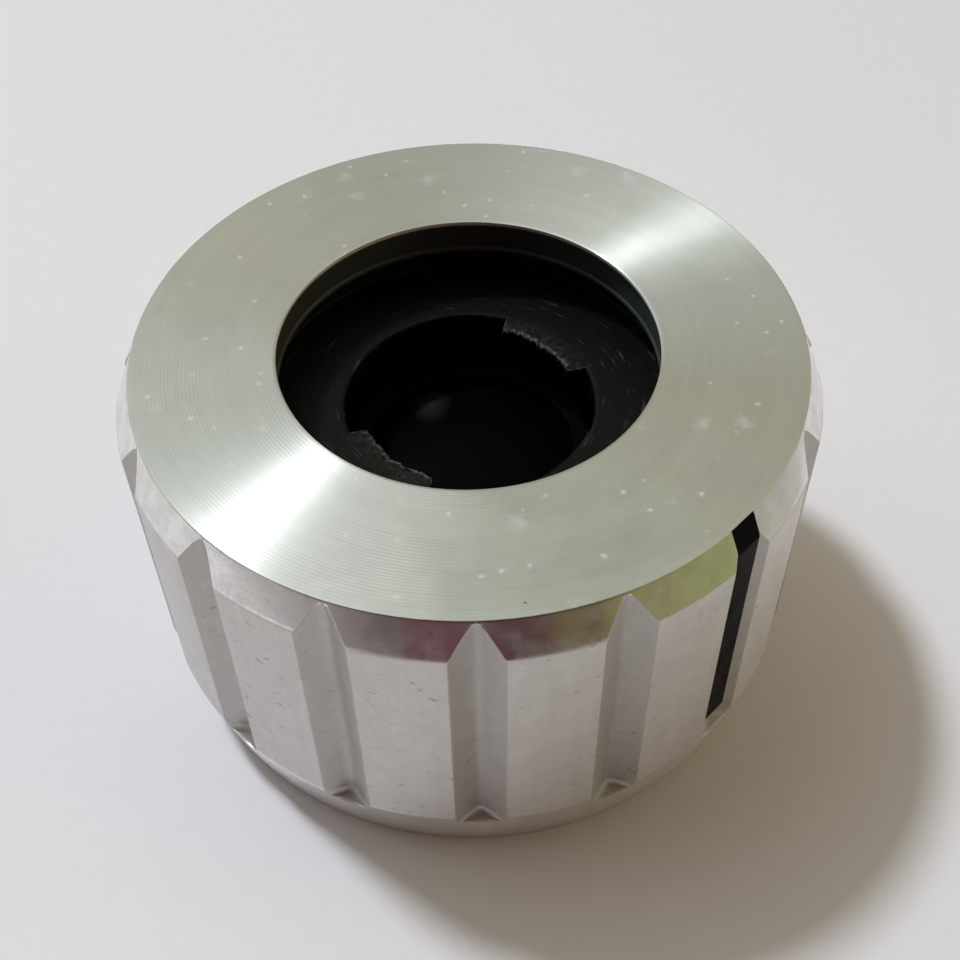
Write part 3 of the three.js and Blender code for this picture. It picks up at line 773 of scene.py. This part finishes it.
class Nodes:
    """A short way to write a node tree. Lengths are in millimetres."""

    def __init__(self, tree):
        self.tree = tree

    def add(self, kind, values=None, **settings):
        node = self.tree.nodes.new("ShaderNode" + kind)
        for key, value in settings.items():
            setattr(node, key, value)
        for socket, value in (values or {}).items():
            self.feed(node.inputs[socket], value)
        return node

    def feed(self, socket, value):
        """Links a node's output to a socket, or sets the socket to a value."""
        if isinstance(value, bpy.types.NodeSocket):
            self.tree.links.new(value, socket)
        else:
            socket.default_value = value

    def math(self, operation, *values):
        node = self.add("Math", dict(enumerate(values)), operation=operation)
        return node.outputs["Value"]

    def vector(self, operation, *values):
        node = self.add("VectorMath", dict(enumerate(values)), operation=operation)
        return node.outputs["Vector"]

    def scaled(self, vector, factor):
        node = self.add("VectorMath", {0: vector, "Scale": factor}, operation="SCALE")
        return node.outputs["Vector"]

    def length(self, vector):
        return self.add("VectorMath", {0: vector}, operation="LENGTH").outputs["Value"]

    def ramp(self, value, low, high, to_low=0.0, to_high=1.0):
        """Maps a value's range low..high onto to_low..to_high, clamped."""
        values = {"Value": value, 1: low, 2: high, 3: to_low, 4: to_high}
        return self.add("MapRange", values).outputs["Result"]

    def mix(self, factor, a, b):
        """The colour a where the factor is 0, and b where it is 1."""
        values = {0: factor, 6: opaque(a), 7: opaque(b)}
        return self.add("Mix", values, data_type="RGBA").outputs[2]

    def place(self):
        """Object coordinates."""
        return self.scaled(self.add("TexCoord").outputs["Object"], 1 / MM)

    def height(self):
        return self.add("SeparateXYZ", {0: self.place()}).outputs["Z"]

    def flat(self):
        """The way out from the axis to the point, level."""
        return self.vector("MULTIPLY", self.place(), (1, 1, 0))

    def radius(self):
        """Distance from the axis."""
        return self.length(self.flat())

    def polar(self, along=1.0, across=1.0, up=1.0):
        """Coordinates that stretch a texture round the axis: more along means shorter marks."""
        round_axis = self.scaled(self.vector("NORMALIZE", self.flat()), along)
        outwards = self.math("MULTIPLY", self.radius(), across)
        upwards = self.math("MULTIPLY", self.height(), up)
        offset = self.add("CombineXYZ", {"Z": self.math("ADD", outwards, upwards)})
        return self.vector("ADD", round_axis, offset.outputs["Vector"])

    def noise(self, vector, scale, detail=2.0, roughness=0.5):
        values = {"Vector": vector, "Scale": scale, "Detail": detail, "Roughness": roughness}
        return self.add("TexNoise", values).outputs["Fac"]

    def dots(self, size, spacing, share):
        """1 inside scattered uneven dots of a size, in a share of the cells of a loose grid."""
        bent = self.add("TexNoise", {"Vector": self.place(), "Scale": 2.5, "Detail": 2.0})
        stray = self.scaled(bent.outputs["Color"], 0.8 * size)
        place = self.vector("ADD", self.place(), stray)
        cells = self.add("TexVoronoi", {"Vector": place, "Scale": 1 / spacing})
        reach = size / 2 / spacing
        dot = self.ramp(cells.outputs["Distance"], reach, 0.3 * reach)
        lot = self.add("SeparateXYZ", {0: cells.outputs["Color"]}).outputs["X"]
        return self.math("MULTIPLY", dot, self.math("LESS_THAN", lot, share))


class MaterialNodes(Nodes):
    """The node tree of a new material."""

    def __init__(self, name):
        self.material = bpy.data.materials.new(name)
        self.material.use_nodes = True
        super().__init__(self.material.node_tree)
        self.shader = self.tree.nodes["Principled BSDF"]

    def shade(self, **values):
        for name, value in values.items():
            self.feed(self.shader.inputs[name.replace("_", " ")], value)

    def bump(self, height, strength, depth):
        values = {"Height": height, "Strength": strength, "Distance": depth * MM}
        self.shade(Normal=self.add("Bump", values).outputs["Normal"])

    def glow(self, colour):
        """Makes the material plain light."""
        light = self.add("Emission", {"Color": opaque(colour)}).outputs["Emission"]
        self.feed(self.tree.nodes["Material Output"].inputs["Surface"], light)


def turned_aluminium(name, roughness, anisotropy, feed, ring_strength, tint):
    """Lathe-turned metal: fine rings, a highlight that runs across them, and specks of dirt."""
    m = MaterialNodes(name)
    turns = m.math("MULTIPLY", m.radius(), 2 * math.pi / feed)
    wander = m.noise(m.polar(along=1.5, across=0.8, up=0.8), 1.0, 2.0)
    groove = m.math("SINE", m.math("ADD", turns, m.math("MULTIPLY", wander, RING_WANDER)))
    patchy = m.noise(m.polar(along=1.2, across=0.25, up=0.25), 1.0, 1.0)
    strength = m.ramp(patchy, 0.35, 0.65, 0.2, 1.0)
    rings = m.ramp(m.math("MULTIPLY", groove, strength), -1.0, 1.0)
    bands = m.ramp(m.noise(m.polar(along=1.0, across=1.6, up=1.6), 1.0, 4.0, 0.7), 0.3, 0.7, 0.0, 0.5)
    marks = m.math("ADD", m.math("MULTIPLY", rings, 0.6), bands)
    ringed = m.mix(m.math("MULTIPLY", marks, ring_strength), tint, shaded(tint, 0.72))
    large_specks = m.math("MULTIPLY", m.dots(1.2, 2.3, 0.5), 0.45)
    white = m.math("MAXIMUM", m.dots(0.4, 1.2, 0.5), large_specks)
    dirt = m.math("MAXIMUM", m.dots(0.22, 2.1, 0.16), m.dots(0.3, 4.5, 0.2))
    speckled = m.mix(m.math("MULTIPLY", white, 0.55), ringed, WHITE_SPECK)
    haze = m.noise(m.place(), 0.35, 4.0, 0.6)
    m.shade(Base_Color=m.mix(m.math("MULTIPLY", dirt, 0.75), speckled, BROWN_DIRT))
    m.shade(Metallic=m.math("SUBTRACT", 1.0, m.math("MULTIPLY", white, 0.35)))
    m.shade(Roughness=m.ramp(haze, 0.35, 0.7, roughness * 0.92, roughness * 1.1))
    m.shade(Anisotropic=anisotropy, Anisotropic_Rotation=QUARTER_TURN)
    m.shade(Tangent=m.add("Tangent", direction_type="RADIAL", axis="Z").outputs["Tangent"])
    m.bump(marks, ring_strength, 0.01)
    return m.material


def rubbed_chamfer(name, roughness, tint):
    """The bright chamfer: nearly a mirror, blotched where fingers have rubbed it."""
    m = MaterialNodes(name)
    blotches = m.noise(m.place(), 0.75, 5.0, 0.65)
    grain = m.noise(m.place(), 11.0, 2.0, 0.6)
    rings = m.noise(m.polar(along=0.6, across=5.0, up=5.0), 1.0, 1.0)
    stains = m.math("MULTIPLY", m.ramp(blotches, 0.42, 0.62), 0.6)
    stained = m.mix(stains, tint, shaded(tint, 0.72))
    specked = m.mix(m.math("MULTIPLY", m.dots(0.25, 1.1, 0.25), 0.5), stained, DARK_SPECK)
    m.shade(Base_Color=m.mix(m.ramp(grain, 0.45, 0.75, 0.0, 0.35), specked, BRIGHT_GRAIN))
    m.shade(Metallic=1.0)
    m.shade(Roughness=m.ramp(blotches, 0.35, 0.65, roughness, roughness + 0.13))
    unevenness = m.math("ADD", m.math("MULTIPLY", blotches, 0.3), m.math("MULTIPLY", rings, 0.08))
    m.bump(unevenness, 0.3, 0.04)
    return m.material


def satin_aluminium(name, roughness, metallic, colour):
    """Blasted metal: an even fine grain with scattered pits, rubbed patches and faint runs."""
    m = MaterialNodes(name)
    grain = m.noise(m.place(), 9.0, 3.0, 0.7)
    patches = m.noise(m.place(), 0.8, 5.0, 0.7)
    runs = m.noise(m.polar(along=22.0, across=0.3, up=0.12), 1.0, 3.0, 0.6)
    worn = m.ramp(m.math("ADD", patches, m.math("MULTIPLY", runs, 0.5)), 0.6, 0.95)
    base = m.mix(worn, shaded(colour, 0.92), shaded(colour, 1.05))
    grained = m.mix(m.ramp(grain, 0.35, 0.7, 0.0, 0.5), base, shaded(colour, 0.8))
    pits = m.math("MAXIMUM", m.dots(0.22, 0.8, 0.2), m.dots(0.4, 1.9, 0.15))
    pits = m.math("MULTIPLY", pits, m.ramp(m.noise(m.place(), 5.0, 3.0, 0.7), 0.42, 0.6))
    nicks = m.ramp(m.noise(m.polar(along=24.0, across=2.5, up=2.0), 1.0, 3.0, 0.6), 0.63, 0.68)
    nicks = m.math("MULTIPLY", nicks, m.ramp(m.noise(m.place(), 0.22, 2.0), 0.48, 0.6, 0.15, 0.8))
    marks = m.math("MAXIMUM", pits, nicks)
    m.shade(Base_Color=m.mix(m.math("MULTIPLY", marks, 0.7), grained, DARK_PIT))
    m.shade(Metallic=metallic)
    m.shade(Roughness=m.ramp(grain, 0.3, 0.7, roughness - 0.05, roughness + 0.06))
    m.bump(m.math("SUBTRACT", grain, marks), 0.35, 0.04)
    return m.material


def scuffed(m, colour, scuffs):
    """A black base colour with pale marks round the axis, and a bump of those marks and a grain."""
    streaks = m.noise(m.polar(along=5.0, across=5.0, up=5.0), 1.0, 3.0, 0.6)
    cloud = m.noise(m.place(), 0.6, 2.0)
    marks = m.math("MULTIPLY", m.ramp(streaks, 0.58, 0.72), m.ramp(cloud, 0.42, 0.6))
    marks = m.math("MULTIPLY", marks, scuffs)
    grain = m.noise(m.place(), 14.0, 2.0)
    m.bump(m.math("ADD", m.math("MULTIPLY", grain, 0.4), marks), 0.3, 0.03)
    return m.mix(marks, colour, PALE_SCUFF)


def black_plastic(name, roughness, colour, gloss, scuffs):
    """Moulded plastic, scuffed round the axis where something turns in it."""
    m = MaterialNodes(name)
    cloud = m.noise(m.place(), 0.6, 2.0)
    m.shade(Base_Color=scuffed(m, colour, scuffs), Specular_IOR_Level=gloss)
    m.shade(Roughness=m.ramp(cloud, 0.3, 0.7, roughness - 0.05, roughness + 0.08))
    return m.material


def socket_plastic(name, gloss):
    """The socket's plastic: scuffed ledge, chipped pale edges on the dogs, and painted shade that
    darkens the mouth.
    """
    m = MaterialNodes(name)
    base = scuffed(m, LEDGE_BLACK, 0.45)
    worn = m.add("Attribute", attribute_name="wear").outputs["Fac"]
    chips = m.ramp(m.noise(m.polar(along=20.0, across=3.0, up=2.0), 1.0, 4.0, 0.7), 0.42, 0.66)
    pale = m.math("MINIMUM", m.math("MULTIPLY", worn, chips), 1.0)
    worn_base = m.mix(pale, base, PALE_CHIP)
    # painted shade: the colour fades towards black deeper in the mouth
    unshaded_share = m.ramp(m.height(), MOUTH_PAINTED_SHADE_FULL, MOUTH_PAINTED_SHADE_STARTS, MOUTH_PAINTED_SHADE_SHARE, 1.0)
    m.shade(Base_Color=m.mix(unshaded_share, (0, 0, 0), worn_base))
    m.shade(Roughness=0.5, Specular_IOR_Level=gloss)
    return m.material


def follower_plastic():
    """Dull black, with a painted highlight: a paler soft spot on the dome."""
    m = MaterialNodes("follower_plastic")
    # painted highlight: paler round a point on the dome, clouded
    aside = m.vector("SUBTRACT", m.place(), PAINTED_HIGHLIGHT_SPOT)
    away = m.length(m.vector("MULTIPLY", aside, (PAINTED_HIGHLIGHT_NARROWING, 1, 1)))
    cloud = m.noise(m.place(), 0.9, 3.0)
    painted_highlight = m.math("MULTIPLY", m.ramp(away, PAINTED_HIGHLIGHT_REACH, 0.2), m.ramp(cloud, 0.2, 0.6, 0.6, 1.0))
    m.shade(Base_Color=m.mix(painted_highlight, FOLLOWER_BLACK, FOLLOWER_PAINTED_HIGHLIGHT))
    m.shade(Roughness=m.ramp(cloud, 0.3, 0.7, 0.45, 0.55), Specular_IOR_Level=0.03)
    m.bump(cloud, 0.2, 0.02)
    return m.material


def plain_metal(name, colour, roughness):
    """Small hidden metal pieces: faint clouding and fine marks."""
    m = MaterialNodes(name)
    cloud = m.noise(m.place(), 1.5, 3.0)
    fine = m.noise(m.place(), 12.0, 2.0)
    m.shade(Base_Color=m.mix(m.ramp(cloud, 0.35, 0.65), colour, shaded(colour, 0.8)))
    m.shade(Metallic=1.0, Roughness=m.ramp(fine, 0.3, 0.7, roughness, roughness + 0.12))
    m.bump(fine, 0.2, 0.02)
    return m.material


def floor_paper():
    """Pale paper, faintly clouded, and a little darker to the right: that darkening is painted shade.
    """
    m = MaterialNodes("floor_paper")
    sideways = m.add("SeparateXYZ", {0: m.place()}).outputs["X"]
    cloud = m.math("MULTIPLY", m.noise(m.place(), 0.8, 3.0), 0.3)
    # painted shade: the paper goes darker to the right
    shade = m.math("ADD", m.ramp(sideways, -FLOOR_PAINTED_SHADE_SPAN, FLOOR_PAINTED_SHADE_SPAN), cloud)
    m.shade(Base_Color=m.mix(shade, PAPER_LEFT, PAPER_RIGHT), Roughness=0.7)
    return m.material


def backdrop_paper():
    """Plain light of one colour."""
    m = MaterialNodes("backdrop_paper")
    m.glow(BACKDROP_COLOUR)
    return m.material


def screen_glow():
    """Light whose colour changes round the axis."""
    m = MaterialNodes("screen_glow")
    parts = m.add("SeparateXYZ", {0: m.place()})
    turn = m.math("ARCTAN2", parts.outputs["Y"], parts.outputs["X"])
    share = m.ramp(turn, math.radians(SCREEN_START), math.radians(SCREEN_END))
    ramp = m.add("ValToRGB", {"Fac": share})
    stops = ramp.color_ramp.elements
    while len(stops) < len(SCREEN_COLOURS):
        stops.new(1.0)
    for stop, (azimuth, colour) in zip(stops, SCREEN_COLOURS):
        stop.position = (azimuth - SCREEN_START) / (SCREEN_END - SCREEN_START)
        stop.color = opaque(colour)
    m.glow(ramp.outputs["Color"])
    return m.material


# ---------------------------------------------------------------- stage, light, camera


def build_floor():
    size = FLOOR_HALF_WIDTH
    points = [[-size, -size, 0], [size, -size, 0], [size, size, 0], [-size, size, 0]]
    floor = mesh_object("floor", points, [[0, 1, 2, 3]], [floor_paper()])


def build_backdrop():
    """A pale wall far round the floor, which lights nothing and shows in no reflection."""
    rows = [around(BACKDROP_RADIUS, z, full_turn(BACKDROP_COLUMNS)) for z in (0.0, BACKDROP_HEIGHT)]
    faces = grid_faces(2, BACKDROP_COLUMNS, rows_close=False)
    wall = mesh_object("backdrop", np.concatenate(rows), faces, [backdrop_paper()])
    wall.visible_diffuse = False
    wall.visible_glossy = False
    wall.visible_shadow = False


def build_screen():
    """A curved card that only reflections show: in front of the object, and nearer on its right."""
    degrees = np.linspace(SCREEN_START, SCREEN_END, SCREEN_COLUMNS)
    radii = np.interp(degrees, SCREEN_BEND, (SCREEN_RADIUS, SCREEN_NEAR_RADIUS))
    rows = [around(radii, z, np.radians(degrees)) for z in (0.0, SCREEN_TOP)]
    faces_all_round = grid_faces(2, SCREEN_COLUMNS, rows_close=False)
    screen = mesh_object("screen", np.concatenate(rows), faces_all_round[:-1], [screen_glow()])
    screen.visible_camera = False
    screen.visible_diffuse = False
    screen.visible_shadow = False


def sky_direction(azimuth, elevation):
    """The way to a point of the sky, from angles in degrees."""
    a = math.radians(azimuth)
    e = math.radians(elevation)
    return Vector((math.cos(a) * math.cos(e), math.sin(a) * math.cos(e), math.sin(e)))


def build_lamp(name, energy, angle, colour):
    """One sun lamp from the key direction."""
    sun = bpy.data.lights.new(name, "SUN")
    sun.energy = energy
    sun.angle = math.radians(angle)
    sun.color = colour
    lamp = bpy.data.objects.new(name, sun)
    direction = sky_direction(LAMP_AZIMUTH, LAMP_ELEVATION)
    lamp.rotation_euler = direction.to_track_quat("Z", "Y").to_euler()
    bpy.context.scene.collection.objects.link(lamp)
    return lamp


def build_light():
    """The key: one lamp that lights and casts shadows, and one that only shines on glossy things."""
    build_lamp("key", LAMP_ENERGY, LAMP_ANGLE, LAMP_COLOUR).visible_glossy = False
    build_lamp("key_shine", SHINE_ENERGY, SHINE_ANGLE, SHINE_COLOUR).visible_diffuse = False


def build_room():
    """Light from all round: one colour, with each soft patch laid over the ones before it."""
    world = bpy.data.worlds.new("room")
    world.use_nodes = True
    bpy.context.scene.world = world
    n = Nodes(world.node_tree)
    direction = n.add("TexCoord").outputs["Generated"]
    colour = ROOM
    for azimuth, elevation, inner, outer, tint in ROOM_PATCHES:
        middle = {0: direction, 1: sky_direction(azimuth, elevation)}
        facing = n.add("VectorMath", middle, operation="DOT_PRODUCT").outputs["Value"]
        edge = {0: facing, 1: math.cos(math.radians(outer)), 2: math.cos(math.radians(inner))}
        share = n.add("MapRange", edge, interpolation_type="SMOOTHSTEP").outputs[0]
        colour = n.mix(share, colour, tint)
    n.feed(n.tree.nodes["Background"].inputs["Color"], colour)


def build_camera():
    data = bpy.data.cameras.new("camera")
    data.lens = CAMERA_LENS
    data.sensor_width = CAMERA_SENSOR
    data.clip_start = CAMERA_NEAREST * MM
    camera = bpy.data.objects.new("camera", data)
    place = Vector(CAMERA_PLACE) * MM
    target = Vector(CAMERA_TARGET) * MM
    aim = (target - place).to_track_quat("-Z", "Y").to_matrix().to_4x4()
    roll = Matrix.Rotation(math.radians(CAMERA_ROLL), 4, "Z")
    camera.matrix_world = Matrix.Translation(place) @ aim @ roll
    bpy.context.scene.collection.objects.link(camera)
    bpy.context.scene.camera = camera


# ---------------------------------------------------------------- the whole


def dress(node, material):
    """A CAD node that stays in view gets its material and slightly broken edges."""
    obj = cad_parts[node]
    obj.data.materials.clear()
    obj.data.materials.append(material)
    modifier = obj.modifiers.new("broken_edges", "BEVEL")
    modifier.width = BROKEN_EDGE * MM
    modifier.segments = 2
    modifier.limit_method = "ANGLE"
    modifier.angle_limit = math.radians(BROKEN_EDGE_ANGLE)


def build_grip():
    face = turned_aluminium(
        "turned_face",
        roughness=0.3155,
        anisotropy=1.0,
        feed=0.187,
        ring_strength=0.48,
        tint=(0.92, 0.945, 0.945),
    )
    chamfer = rubbed_chamfer("turned_chamfer", roughness=0.1, tint=(0.88, 0.87, 0.85))
    rim = turned_aluminium(
        "turned_rim",
        roughness=0.3,
        anisotropy=0.5,
        feed=0.15,
        ring_strength=0.15,
        tint=(0.90, 0.88, 0.89),
    )
    land = satin_aluminium("satin_land", 0.42, metallic=0.6, colour=(0.75, 0.725, 0.70))
    # The flutes get the lands' satin metal made darker: painted shade in the grooves
    flute = satin_aluminium("satin_flute_painted_shade", 0.46, metallic=0.8, colour=(0.575, 0.545, 0.52))
    grip_shell([face, chamfer, land, flute, rim, rim])
    black = (0.002, 0.002, 0.002)
    index_strip(black_plastic("index_plastic", 0.4, black, gloss=0.03, scuffs=0.0))


def build_core():
    core = black_plastic("core_plastic", 0.42, (0.008, 0.008, 0.0085), gloss=0.3, scuffs=0.3)
    lip = black_plastic("lip_plastic", 0.45, (0.042, 0.055, 0.048), gloss=0.35, scuffs=0.6)
    brass = plain_metal("turned_brass", (0.75, 0.55, 0.26), 0.25)
    steel = plain_metal("zinc_steel", (0.62, 0.62, 0.63), 0.25)
    black_steel = plain_metal("black_oxide", (0.06, 0.06, 0.065), 0.35)
    retaining_collar(lip)
    drive_socket([socket_plastic("socket_plastic", 0.16), socket_plastic("mouth_plastic", 0.03)])
    follower_dome(follower_plastic())
    return_spring(plain_metal("spring_steel", (0.6, 0.6, 0.62), 0.2))
    dress("hub_core", core)
    dress("rear_cover", core)
    dress("shaft_bush", brass)
    for name in ("grub_screw_a", "grub_screw_b"):
        dress(name, black_steel)
    for name in ("cover_screw_1", "cover_screw_2", "cover_screw_3", "drive_pin_1", "drive_pin_2"):
        dress(name, steel)


def build_stage():
    build_floor()
    build_backdrop()
    build_light()
    build_room()
    build_screen()
    build_camera()
    bpy.context.scene.view_settings.view_transform = "Standard"


build_grip()
build_core()
build_stage()
